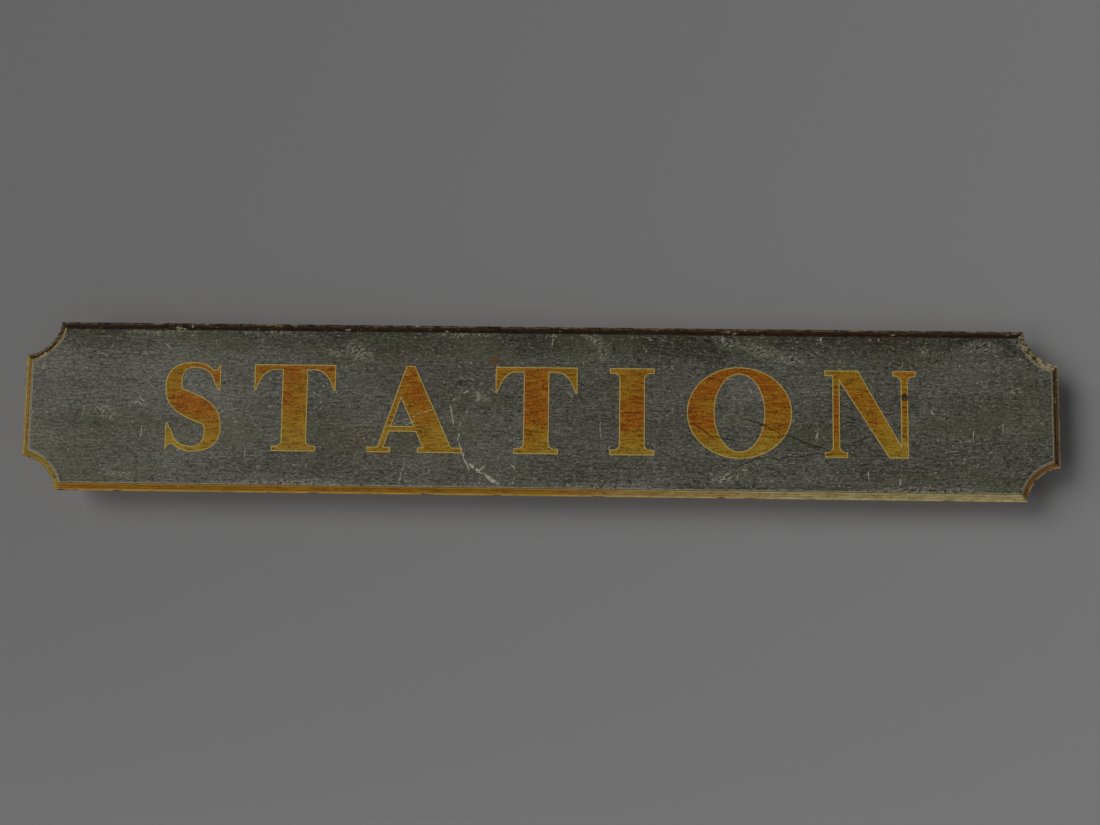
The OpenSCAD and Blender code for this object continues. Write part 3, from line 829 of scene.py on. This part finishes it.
class Shaping:
    """Edit mode on one piece."""

    def __init__(self, obj: Piece) -> None:
        """Keeps the piece."""
        self.obj = obj

    def __enter__(self) -> "Shaping":
        """Goes into edit mode with everything selected."""
        hold(self.obj)
        bpy.ops.object.mode_set(mode="EDIT")
        bpy.ops.mesh.select_all(action="SELECT")
        return self

    def __exit__(self, *error: object) -> None:
        """Goes back to object mode."""
        bpy.ops.object.mode_set(mode="OBJECT")

    def _select(self, mode: str, elements: str, test: Callable[[object], bool]) -> None:
        """Selects the faces or edges that pass a test, and nothing else."""
        bpy.ops.mesh.select_mode(type=mode)
        bpy.ops.mesh.select_all(action="DESELECT")
        for element in getattr(bmesh.from_edit_mesh(self.obj.data), elements):
            if test(element):
                element.select_set(True)
        bmesh.update_edit_mesh(self.obj.data)

    def faces(self, test: Callable[[Vector, Vector], bool]) -> None:
        """Selects faces by their centre and normal."""
        self._select("FACE", "faces", lambda f: test(f.calc_center_median(), f.normal))

    def edges(self, test: Callable[[Vector, Vector], bool], sharper_than: float = 0.0) -> None:
        """Selects edges by their two ends and by the angle between their faces, in degrees."""
        least = math.radians(sharper_than)
        self._select(
            "EDGE", "edges",
            lambda e: e.calc_face_angle(0.0) >= least and test(e.verts[0].co, e.verts[1].co),
        )

    def slice(self, axis: Vector, places: Iterable[float]) -> None:
        """Cuts the whole mesh into slices.

        Args:
            axis: The direction across the cuts.
            places: Where to cut, along that direction.
        """
        for place in places:
            bpy.ops.mesh.select_all(action="SELECT")
            bpy.ops.mesh.bisect(plane_co=axis * place, plane_no=axis)

    def paint(self, slot: int) -> None:
        """Gives the selected faces a material slot."""
        self.obj.active_material_index = slot
        bpy.ops.object.material_slot_assign()


def copied(node: str, name: str) -> Piece:
    """Copies a CAD node's mesh into a new piece and makes it one clean shell.

    Args:
        node: The CAD node.
        name: The new piece's name.

    Returns:
        The new piece.
    """
    piece = bpy.data.objects.new(name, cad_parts[node].data.copy())
    bpy.context.scene.collection.objects.link(piece)
    piece.data.materials.clear()
    with Shaping(piece):
        bpy.ops.mesh.customdata_custom_splitnormals_clear()
        bpy.ops.mesh.remove_doubles(threshold=TOUCH)
        bpy.ops.mesh.dissolve_limited(angle_limit=math.radians(0.4))
    return piece


def shade(piece: Piece, angle: float = 32.0) -> None:
    """Shades a piece smooth across its shallow edges."""
    hold(piece)
    bpy.ops.object.shade_smooth_by_angle(angle=math.radians(angle))


def dress(piece: Piece, *materials: Finish) -> None:
    """Gives a piece its material slots."""
    for material in materials:
        piece.data.materials.append(material)


def hand_over(piece: Piece, node: str) -> None:
    """Puts a finished piece in its CAD node's place.

    Args:
        piece: The finished piece.
        node: The CAD node that it replaces.
    """
    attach(piece, "root")
    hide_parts(node)
    log.info("%s: %d faces", piece.name, len(piece.data.polygons))


def steps(low: float, high: float, pitch: float) -> list[float]:
    """Evenly spaced places strictly between two limits."""
    count = max(1, round((high - low) / pitch))
    return [low + (high - low) * i / count for i in range(1, count)]


def uneven(piece: Piece, stretch: Colour, strength: float, direction: str, group: str = "") -> None:
    """Makes a surface uneven by moving its points along one direction.

    Args:
        piece: The piece.
        stretch: Size of the unevenness along X, Y and Z, in metres.
        strength: How far a point may move, in metres; it moves one way only.
        direction: X, Y, Z or NORMAL.
        group: The vertex group to move, or all of them.
    """
    deselect()
    bpy.ops.object.empty_add(location=(0.0, 0.0, 0.0))
    ruler = bpy.context.object
    ruler.scale = stretch
    bpy.context.view_layer.update()
    pattern = bpy.data.textures.new("unevenness", "CLOUDS")
    pattern.noise_scale = 1.0
    pattern.noise_depth = 3
    apply_modifier(
        piece, "DISPLACE", texture=pattern, texture_coords="OBJECT", texture_coords_object=ruler,
        direction=direction, strength=strength, mid_level=0.0, vertex_group=group,
    )
    bpy.data.objects.remove(ruler)


def group_of(piece: Piece, name: str, test: Callable[[Vector], bool]) -> None:
    """Puts the points that pass a test into a vertex group."""
    group = piece.vertex_groups.new(name=name)
    group.add([v.index for v in piece.data.vertices if test(v.co)], 1.0, "REPLACE")


@dataclass(frozen=True)
class Chip:
    """A bite out of an edge: its centre and its half sizes."""

    centre: Sequence[float]
    half: Sequence[float]


def drawn_chips(draw: random.Random, count: int, *sizes: float | Place) -> list[Chip]:
    """Draws chips at random.

    Args:
        draw: The random draws.
        count: How many.
        *sizes: X, Y and Z of the centre and of the half sizes, each a number or two limits.

    Returns:
        The chips.
    """
    found = []
    for _ in range(count):
        row = [draw.uniform(*size) if isinstance(size, tuple) else size for size in sizes]
        found.append(Chip(row[:3], row[3:]))
    return found


class ChipTool:
    """Cuts chips out of a piece and leaves bare wood in them."""

    def __init__(self, wood: Finish, seed: int) -> None:
        """Keeps the wood that shows in the chips, and starts the random draws."""
        self.wood, self.draw = wood, random.Random(seed)

    def cut(self, piece: Piece, chips: Sequence[Chip]) -> None:
        """Cuts all the chips out of a piece at once.

        Args:
            piece: The piece, a closed shell.
            chips: The chips.
        """
        cutters = [self.cutter(chip) for chip in chips]
        hold(cutters[0])
        for cutter in cutters:
            cutter.select_set(True)
        bpy.ops.object.join()
        tool = bpy.context.object
        apply_modifier(piece, "BOOLEAN", operation="DIFFERENCE", object=tool, solver="EXACT",
                       use_self=True, material_mode="TRANSFER")
        bpy.data.objects.remove(tool)

    def cutter(self, chip: Chip) -> Piece:
        """Makes one rough lump in the shape of a chip."""
        deselect()
        bpy.ops.mesh.primitive_ico_sphere_add(subdivisions=2, radius=1.0)
        lump = bpy.context.object
        for vertex in lump.data.vertices:
            vertex.co *= self.draw.uniform(0.74, 1.16)
        lump.scale = chip.half
        lump.rotation_euler = (self.draw.uniform(-0.4, 0.4), self.draw.uniform(-0.06, 0.06), 0.0)
        lump.location = chip.centre
        bpy.ops.object.transform_apply(location=True, rotation=True, scale=True)
        lump.data.materials.append(self.wood)
        return lump


# ---- the plank


@dataclass
class Plank:
    """The board itself: painted face, bare edges and back."""

    arris: float = 0.0014
    row: float = 0.005
    column: float = 0.05
    face_wave: float = 0.0003
    back_wave: float = 0.0007
    paint_depth: float = 0.0036

    def build(self, face: Finish, back: Finish, chips: ChipTool) -> None:
        """Builds the plank.

        Args:
            face: Ground paint.
            back: Bare wood.
            chips: The tool for broken edges.
        """
        piece = copied("name_board", "plank")
        dress(piece, back, face)
        with Shaping(piece) as shaping:
            shaping.edges(self.on_back_outline, 30.0)
            bpy.ops.mesh.bevel(offset=self.arris, segments=2, profile=0.6, clamp_overlap=True)
            shaping.slice(Vector((0, 0, 1)), steps(-HALF_HEIGHT, HALF_HEIGHT, self.row))
            shaping.slice(Vector((1, 0, 0)), steps(-HALF_LENGTH, HALF_LENGTH, self.column))
            shaping.faces(lambda centre, normal: centre.y < FACE_Y + self.paint_depth and normal.y < 0.5)
            shaping.paint(1)
        group_of(piece, "face", lambda p: p.y < FACE_Y + TOUCH)
        group_of(piece, "back", lambda p: p.y > BACK_Y - TOUCH)
        uneven(piece, (0.5, 1.0, 0.022), self.face_wave, "Y", "face")
        uneven(piece, (0.6, 1.0, 0.030), -self.back_wave, "Y", "back")
        chips.cut(piece, self.knocks())
        piece.vertex_groups.clear()
        shade(piece)
        hand_over(piece, "name_board")

    @staticmethod
    def on_back_outline(first: Vector, second: Vector) -> bool:
        """Says whether an edge runs round the outside of the back."""
        return all(p.y > BACK_Y - TOUCH and outline_distance(p) < 2e-4 for p in (first, second))

    @staticmethod
    def knocks() -> list[Chip]:
        """Splinters round the bolt hole's two ends and knocks on the back's arris."""
        hole_x, hole_z = HOLE
        rings = (
            (FACE_Y, 0.0052, (0.0022, 0.0012, 0.0014), (0.4, 1.9, 3.3, 4.9)),
            (BACK_Y, 0.0050, (0.0046, 0.0016, 0.0016), (0.1, 2.9, 5.2)),
        )
        splinters = [
            Chip((hole_x + reach * math.cos(angle), y, hole_z + reach * math.sin(angle)), half)
            for y, reach, half, angles in rings
            for angle in angles
        ]
        back = [
            Chip((x, BACK_Y, side * HALF_HEIGHT), (length, 0.0028, 0.0026))
            for x, side, length in (
                (-0.92, 1, 0.022), (-0.31, 1, 0.014), (0.44, 1, 0.030), (1.02, 1, 0.012),
                (-1.06, -1, 0.016), (-0.22, -1, 0.026), (0.37, -1, 0.012), (0.94, -1, 0.020),
            )
        ]
        return splinters + back


def outline_distance(point: Vector) -> float:
    """Distance in from the board's outline, scoops included, in metres."""
    side = HALF_LENGTH - abs(point.x)
    top = HALF_HEIGHT - abs(point.z)
    across = HALF_LENGTH + SCOOP_SET - abs(point.x)
    up = HALF_HEIGHT + SCOOP_SET - abs(point.z)
    return min(side, top, math.hypot(across, up) - SCOOP_RADIUS)


# ---- the lettering


@dataclass
class Lettering:
    """The painted word, each letter with a lighter line round its edge."""

    rim_width: float = 0.0022
    bite: float = 0.0004
    ring: float = 0.0062

    def build(self, body: Finish, rim: Finish) -> None:
        """Builds the lettering.

        Args:
            body: Paint of the letters.
            rim: Paint of the line round them.
        """
        piece = copied("lettering", "painted_word")
        dress(piece, body, rim)
        with Shaping(piece) as shaping:
            shaping.faces(self.on_ring)
            bpy.ops.mesh.delete(type="FACE")
            bpy.ops.mesh.select_all(action="SELECT")
            bpy.ops.mesh.fill_holes(sides=0)
            bpy.ops.mesh.dissolve_limited(angle_limit=math.radians(0.4))
            bpy.ops.mesh.select_all(action="SELECT")
            shaping.paint(1)
            shaping.faces(lambda centre, normal: normal.y < -0.9)
            bpy.ops.mesh.inset(thickness=self.rim_width, use_boundary=True, use_even_offset=True)
            shaping.paint(0)
            shaping.faces(lambda centre, normal: normal.y > 0.9)
            bpy.ops.transform.translate(value=(0.0, self.bite, 0.0))
        self.cut_ring(piece)
        hand_over(piece, "lettering")

    def on_ring(self, centre: Vector, normal: Vector) -> bool:
        """Says whether a face is part of the wall round the bolt hole."""
        return abs(normal.y) < 0.5 and math.dist((centre.x, centre.z), HOLE) < self.ring + 0.0002

    def cut_ring(self, piece: Piece) -> None:
        """Cuts the film away round the bolt hole."""
        deselect()
        bpy.ops.mesh.primitive_cylinder_add(
            vertices=40, radius=self.ring, depth=0.01, location=(HOLE[0], FILM_Y, HOLE[1]),
            rotation=(math.pi / 2, 0.0, 0.0),
        )
        tool = bpy.context.object
        apply_modifier(piece, "BOOLEAN", operation="DIFFERENCE", object=tool, solver="EXACT")
        bpy.data.objects.remove(tool)


# ---- the edge moulding


@dataclass
class EdgeMoulding:
    """The planted strips round the edge, straight and scooped."""

    arris: float = 0.0006
    pitch: float = 0.010
    wander: float = 0.0005

    def build(self, paints: dict[Weather, Finish], wood: Finish) -> None:
        """Builds all eight strips.

        Args:
            paints: Paint for each way of ageing.
            wood: Wood where a strip is broken.
        """
        ways = {
            "top_moulding": (Weather.SOOTED, "sooted_moulding"),
            "bottom_moulding": (Weather.OCHRE, "ochre_moulding"),
            "left_moulding": (Weather.RUBBED, "ochre_moulding"),
            "right_moulding": (Weather.BROWN, "sooted_moulding"),
            "top_left_scoop_moulding": (Weather.SCARRED, "sooted_moulding"),
            "top_right_scoop_moulding": (Weather.SCARRED, "sooted_moulding"),
            "bottom_left_scoop_moulding": (Weather.LEMON, "ochre_moulding"),
            "bottom_right_scoop_moulding": (Weather.BURNT, "ochre_moulding"),
        }
        for seed, (node, (weather, slot)) in enumerate(ways.items()):
            piece = copied(node, f"worn_{node}")
            dress(piece, paints[weather])
            self.soften(piece)
            ChipTool(wood, 40 + seed).cut(piece, self.chips(node))
            self.roughen(piece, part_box(node), "scoop" in node)
            shade(piece)
            hand_over(piece, node)

    def soften(self, piece: Piece) -> None:
        """Rounds a strip's front arrises."""
        with Shaping(piece) as shaping:
            shaping.edges(lambda a, b: min(a.y, b.y) < REBATE_Y - 0.001, 25.0)
            bpy.ops.mesh.bevel(offset=self.arris, segments=2, profile=0.55, clamp_overlap=True)

    def roughen(self, piece: Piece, box: tuple[Vector, Vector], scooped: bool) -> None:
        """Makes a strip's front wander a little.

        Args:
            piece: The strip.
            box: Its lowest and highest corners.
            scooped: Whether it is one of the round ones, which are already in short facets.
        """
        low, high = box
        if not scooped:
            sideways = high.x - low.x > high.z - low.z
            axis = Vector((1, 0, 0)) if sideways else Vector((0, 0, 1))
            with Shaping(piece) as shaping:
                shaping.slice(axis, steps(low @ axis, high @ axis, self.pitch))
        group_of(piece, "front", lambda p: p.y < LIP_Y + 0.001)
        uneven(piece, (0.03, 0.03, 0.03), self.wander, "Y", "front")
        piece.vertex_groups.clear()

    @staticmethod
    def chips(node: str) -> list[Chip]:
        """Where a strip is broken, mostly along its outer arris."""
        draw = random.Random(node)
        low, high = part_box(node)
        across, up = math.copysign(1, high.x), math.copysign(1, high.z)
        if node in ("top_moulding", "bottom_moulding"):
            count = 46 if up > 0 else 16
            reach = HALF_LENGTH - SCOOP_WIDTH - 0.02
            edge = drawn_chips(
                draw, count, (-reach, reach), (LIP_Y, LIP_Y - 0.0012), up * HALF_HEIGHT,
                (0.004, 0.020), (0.0016, 0.0042), (0.0010, 0.0030),
            )
            ridge = drawn_chips(
                draw, count // 2, (-reach, reach), LIP_Y - 0.0022, up * (HALF_HEIGHT - 0.0030),
                (0.004, 0.014), 0.0016, (0.0008, 0.0016),
            )
            return edge + ridge + (TOP_BREAKS if up > 0 else [])
        if node in ("left_moulding", "right_moulding"):
            return drawn_chips(
                draw, 9, across * HALF_LENGTH, LIP_Y, (low.z + 0.02, high.z - 0.02),
                (0.0010, 0.0022), (0.0015, 0.0030), (0.003, 0.010),
            )
        centre = Vector((across * (HALF_LENGTH + SCOOP_SET), 0.0, up * (HALF_HEIGHT + SCOOP_SET)))
        found = []
        for _ in range(7):
            angle = math.radians(draw.uniform(192, 258))
            spot = centre + SCOOP_RADIUS * Vector((across * math.cos(angle), 0.0, up * math.sin(angle)))
            found.append(Chip((spot.x, LIP_Y, spot.z), (draw.uniform(0.0015, 0.004),) * 3))
        return found


TOP_BREAKS = [
    Chip((x, LIP_Y - forward, HALF_HEIGHT - down), half)
    for x, forward, down, *half in in_metres((
        (-185, 2, 0, 12, 5, 5.5), (62, 1, 0, 16, 4.5, 5), (96, 2, 0, 10, 5, 4.5), (440, 3, 6, 13, 6, 6.5),
        (458, 4, 12, 8, 4, 5), (-660, 1, 0, 24, 3.5, 4), (-905, 1, 0, 18, 4, 3.2),
        (742, 1, 0, 20, 3.5, 3.6), (1015, 1, 0, 14, 4, 3.6), (1118, 2, 2, 10, 4.8, 5),
        (1100, 3, 8, 6, 4, 3.4), (-1128, 1, 0, 6, 4, 3),
    ))
]


# ---- the back


@dataclass
class BackWork:
    """Battens, hanger plates and screws on the back."""

    batten_arris: float = 0.0012
    plate_arris: float = 0.0004
    head_arris: float = 0.00015

    def build(self, pine: Finish, wood: Finish, plate: Finish,
              screw: Finish, brad: Finish) -> None:
        """Builds everything on the back, and dresses the brads.

        Args:
            pine: The battens' wood.
            wood: Broken wood.
            plate: The hanger plates' iron.
            screw: The screws' steel.
            brad: The brads' steel.
        """
        for seed, side in enumerate(("left", "middle", "right")):
            self.batten(f"{side}_batten", pine, wood, seed)
            self.small(f"{side}_batten_screws", screw, self.head_arris, "screw_steel")
        for side in ("left", "right"):
            self.small(f"{side}_hanger_plate", plate, self.plate_arris, "hanger_iron")
            self.small(f"{side}_hanger_screws", screw, self.head_arris, "screw_steel")
        for run in ("top", "bottom", "left", "right", "scoop"):
            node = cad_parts[f"{run}_brads"]
            node.data.materials.clear()
            node.data.materials.append(brad)
        log.info("brads dressed")

    def batten(self, node: str, pine: Finish, wood: Finish, seed: int) -> None:
        """Builds one batten with softened and knocked arrises."""
        piece = copied(node, f"worn_{node}")
        dress(piece, pine)
        low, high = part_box(node)
        with Shaping(piece) as shaping:
            shaping.edges(lambda a, b: self.on_outside(a, b, low, high), 25.0)
            bpy.ops.mesh.bevel(offset=self.batten_arris, segments=2, profile=0.6, clamp_overlap=True)
            shaping.slice(Vector((0, 0, 1)), steps(low.z, high.z, 0.012))
        draw = random.Random(seed)
        chips = [
            Chip(
                (draw.choice((low.x, high.x)), -0.0004, draw.uniform(low.z + 0.03, high.z - 0.03)),
                (draw.uniform(0.0015, 0.0035), draw.uniform(0.0015, 0.0035), draw.uniform(0.006, 0.018)),
            )
            for _ in range(5)
        ]
        ChipTool(wood, 70 + seed).cut(piece, chips)
        shade(piece)
        hand_over(piece, node)

    @staticmethod
    def on_outside(first: Vector, second: Vector, low: Vector, high: Vector) -> bool:
        """Says whether an edge lies on the outside of a batten, away from its holes."""

        def outside(point: Vector) -> bool:
            """Says whether a point is on one of the four outer sides."""
            sides = (point.x - low.x, high.x - point.x, point.z - low.z, high.z - point.z)
            return min(sides) < TOUCH or not low.z + BATTEN_END <= point.z <= high.z - BATTEN_END

        return outside(first) and outside(second)

    @staticmethod
    def small(node: str, metal: Finish, arris: float, slot: str) -> None:
        """Builds a small metal piece with softened arrises."""
        piece = copied(node, f"worn_{node}")
        dress(piece, metal)
        with Shaping(piece) as shaping:
            shaping.edges(lambda a, b: True, 40.0)
            bpy.ops.mesh.bevel(offset=arris, segments=2, profile=0.5, clamp_overlap=True)
        shade(piece, 40.0)
        hand_over(piece, node)


# ---- stage, light and camera


@dataclass
class Studio:
    """Floor, backdrop, lights and camera."""

    floor_z: float = -1.0
    wall_y: float = 0.034
    wall_shade: Colour = (0.270, 0.268, 0.268)
    floor_shade: Colour = (0.55, 0.55, 0.545)
    window_angle: float = 32.0
    high_pane: tuple[Colour, float] = ((-1.19, -1.0, 0.56), 1.76)
    low_pane: tuple[Colour, float] = ((-1.19, -1.0, -0.30), 0.60)

    def build(self) -> None:
        """Sets everything up."""
        floor = self.sheet("floor", (0.0, 0.0, self.floor_z), 0.0, 24.0, self.floor_shade)
        wall = self.sheet("backdrop", (0.0, self.wall_y, 0.0), math.pi / 2, 16.0, self.wall_shade)
        wall.visible_diffuse = False
        wall.visible_glossy = False
        wall.visible_shadow = False
        floor.visible_shadow = False
        self.light_world()
        for way, strength in (self.high_pane, self.low_pane):
            self.light("SUN", "window", way, strength, angle=math.radians(self.window_angle))
        self.light("AREA", "rear", (-1.8, 3.0, 1.6), 130.0, shape="RECTANGLE", size=2.4, size_y=1.8)
        self.camera()
        bpy.context.scene.view_settings.view_transform = "Standard"

    @staticmethod
    def sheet(name: str, place: Colour, tilt: float, size: float, tone: Colour) -> Piece:
        """Makes a plain sheet that is seen from its front only.

        Args:
            name: Its name.
            place: Its centre.
            tilt: Its turn about X, in radians.
            size: The length of its sides.
            tone: Its colour.

        Returns:
            The sheet.
        """
        deselect()
        bpy.ops.mesh.primitive_plane_add(size=size, location=place, rotation=(tilt, 0.0, 0.0))
        sheet = bpy.context.object
        sheet.name = name
        g = Graph(f"{name}_paper")
        diffuse = g.node("BsdfDiffuse", {}, {"Color": tone, "Roughness": 0.5})
        clear = g.node("BsdfTransparent", {}, {})
        behind = g.node("NewGeometry", {}, {}, "Backfacing")
        g.node_output(g.node("MixShader", {}, {0: behind, 1: diffuse, 2: clear}))
        sheet.data.materials.append(g.material)
        return sheet

    @staticmethod
    def light_world() -> None:
        """Sets a plain grey sky."""
        world = bpy.data.worlds.new("soft_room")
        world.use_nodes = True
        background = world.node_tree.nodes["Background"]
        background.inputs["Color"].default_value = (0.78, 0.80, 0.82, 1.0)
        background.inputs["Strength"].default_value = 0.145
        bpy.context.scene.world = world

    @staticmethod
    def light(kind: str, name: str, place: Colour, power: float, **settings: object) -> None:
        """Adds a light that looks at the board's middle.

        Args:
            kind: SUN or AREA.
            name: Its name.
            place: Where it hangs, or the direction in which it lies.
            power: Its strength, or its power in watts.
            **settings: Its other settings.
        """
        data = bpy.data.lights.new(name, kind)
        data.energy = power
        for key, value in settings.items():
            setattr(data, key, value)
        light = bpy.data.objects.new(name, data)
        if kind == "AREA":
            light.location = place
        light.rotation_euler = (-Vector(place)).to_track_quat("-Z", "Y").to_euler()
        bpy.context.scene.collection.objects.link(light)

    @staticmethod
    def camera() -> None:
        """Adds the camera, a little below the board's middle and looking up at it."""
        data = bpy.data.cameras.new("camera")
        data.lens = 37.8
        data.sensor_width = 36.0
        camera = bpy.data.objects.new("camera", data)
        camera.location = (0.068, -2.751, -0.246)
        camera.rotation_euler = [math.radians(a) for a in (95.115, -0.736, 0.803)]
        bpy.context.scene.collection.objects.link(camera)
        bpy.context.scene.camera = camera


def main() -> None:
    """Builds the board, its studio and its camera."""
    Studio().build()
    broken = BrokenWood().make()
    face = GroundPaint().make()
    back = AgedPine("plank_back").make()
    Plank().build(face, back, ChipTool(broken, 11))
    Lettering().build(SignPaint("letter_paint").make(), SignPaint("letter_rim", rim=True).make())
    paints = {weather: MouldingPaint(weather).make() for weather in Weather}
    EdgeMoulding().build(paints, broken)
    BackWork().build(
        AgedPine("batten_pine", upright=True).make(), broken,
        Iron("hanger_iron", srgb(74, 70, 68), rusted=0.55).make(),
        Iron("screw_steel", srgb(130, 126, 120), rusted=0.45).make(),
        Iron("brad_steel", srgb(70, 52, 38), rusted=0.75).make(),
    )


if __name__ == "__main__":
    main()
